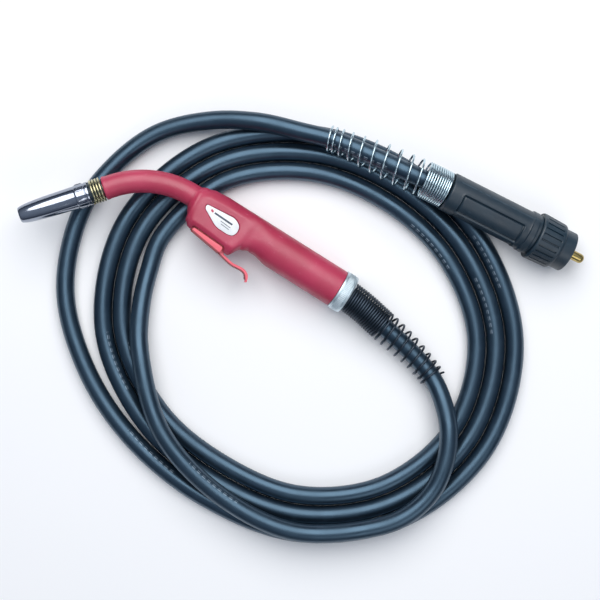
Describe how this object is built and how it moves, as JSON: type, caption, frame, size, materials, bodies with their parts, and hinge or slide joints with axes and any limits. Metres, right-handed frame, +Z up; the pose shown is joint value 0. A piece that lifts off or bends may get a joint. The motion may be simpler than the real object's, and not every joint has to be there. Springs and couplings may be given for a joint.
{
  "type": "mig welding torch",
  "caption": "MIG welding torch with a swan neck, gas nozzle, handle and trigger, a long cable in loose turns, spring strain reliefs and a machine plug with a union nut.",
  "frame": {"origin": "centre of the bounding box of the torch itself (nozzle to front spring, without the cable and plug), on the floor that the object lies on", "axes": "+X along the handle, from the nozzle towards the cable; +Z up from the floor; the trigger is on the -Y side"},
  "size_m": [0.4706, 0.3854, 0.0549],
  "materials": {
    "red_plastic": "fine matt mould texture",
    "trigger_plastic": "satin",
    "black_plastic": "matt with a fine texture",
    "cable_rubber": "smooth satin rubber",
    "brass": "turned",
    "copper": "turned copper",
    "chrome": "polished",
    "steel": "satin",
    "ring_metal": "knurled, matt",
    "zinc_wire": "bright zinc",
    "black_wire": "black oxide, satin",
    "badge_white": "domed white badge"
  },
  "bodies": {
    "torch": {"handle_shell_left": "red_plastic", "handle_shell_right": "red_plastic", "handle_screw_1": "steel", "handle_screw_2": "steel", "handle_screw_3": "steel", "handle_screw_4": "steel", "badge_plate": "badge_white", "cable_socket_front": "brass", "trigger_pin": "steel", "micro_switch": "black_plastic", "trigger_spring": "zinc_wire", "neck_sleeve": "red_plastic", "neck_tube": "brass", "neck_tube_end": "brass", "nozzle_seat": "black_plastic", "nozzle_spring": "brass", "gas_diffuser": "brass", "cable": "cable_rubber", "front_spring": "black_wire", "rear_spring": "zinc_wire", "plug_housing_upper": "black_plastic", "plug_housing_lower": "black_plastic", "housing_screw_1": "steel", "housing_screw_2": "steel", "cable_socket_rear": "brass", "plug_conduit": "brass", "plug_body": "black_plastic", "gas_nipple": "brass", "nipple_o_ring": "cable_rubber"},
    "trigger": {"trigger_lever": "trigger_plastic"},
    "switch": {"switch_button": "trigger_plastic"},
    "nozzle": {"gas_nozzle": "chrome"},
    "contact_tip": {"contact_tip": "copper"},
    "lock_ring": {"lock_ring": "ring_metal"},
    "union_nut": {"union_nut": "black_plastic"},
    "pin_1": {"control_pin_1": "brass"},
    "pin_2": {"control_pin_2": "brass"}
  },
  "joints": [
    {"name": "trigger_pull", "type": "hinge", "parent": "torch", "child": "trigger", "pos_m": [-0.06462, 0.0184, 0.03198], "axis": [0.0906, 0, 0.9959], "range_deg": [0, 6], "stiffness_Nm_per_rad": 2, "springref_deg": -4.58, "deforming": ["trigger_spring"]},
    {"name": "switch_press", "type": "slide", "parent": "torch", "child": "switch", "axis": [0, 1, 0], "range_m": [0, 0.0013]},
    {"name": "nozzle_pull", "type": "slide", "parent": "torch", "child": "nozzle", "axis": [-0.6401, -0.766, 0.0583], "range_m": [0, 0.062]},
    {"name": "contact_tip_turn", "type": "hinge", "parent": "torch", "child": "contact_tip", "pos_m": [-0.17573, -0.03404, 0.04209], "axis": [-0.6401, -0.766, 0.0583], "continuous": true},
    {"name": "lock_ring_turn", "type": "hinge", "parent": "torch", "child": "lock_ring", "pos_m": [0.08178, 0.0388, 0.01866], "axis": [0.9959, 0, -0.0906], "continuous": true},
    {"name": "union_nut_turn", "type": "hinge", "parent": "torch", "child": "union_nut", "pos_m": [0.2208, 0.1735, 0.02075], "axis": [0.9851, 0.1053, -0.1357], "continuous": true},
    {"name": "control_pin_1_press", "type": "slide", "parent": "torch", "child": "pin_1", "axis": [-0.9851, -0.1053, 0.1357], "range_m": [0, 0.003], "stiffness_N_per_m": 700, "springref_m": -0.001},
    {"name": "control_pin_2_press", "type": "slide", "parent": "torch", "child": "pin_2", "axis": [-0.9851, -0.1053, 0.1357], "range_m": [0, 0.003], "stiffness_N_per_m": 700, "springref_m": -0.001}
  ],
  "couplings": [
    {"joint": "switch_press", "follows": "trigger_pull", "m_per_rad": 0.012}
  ]
}
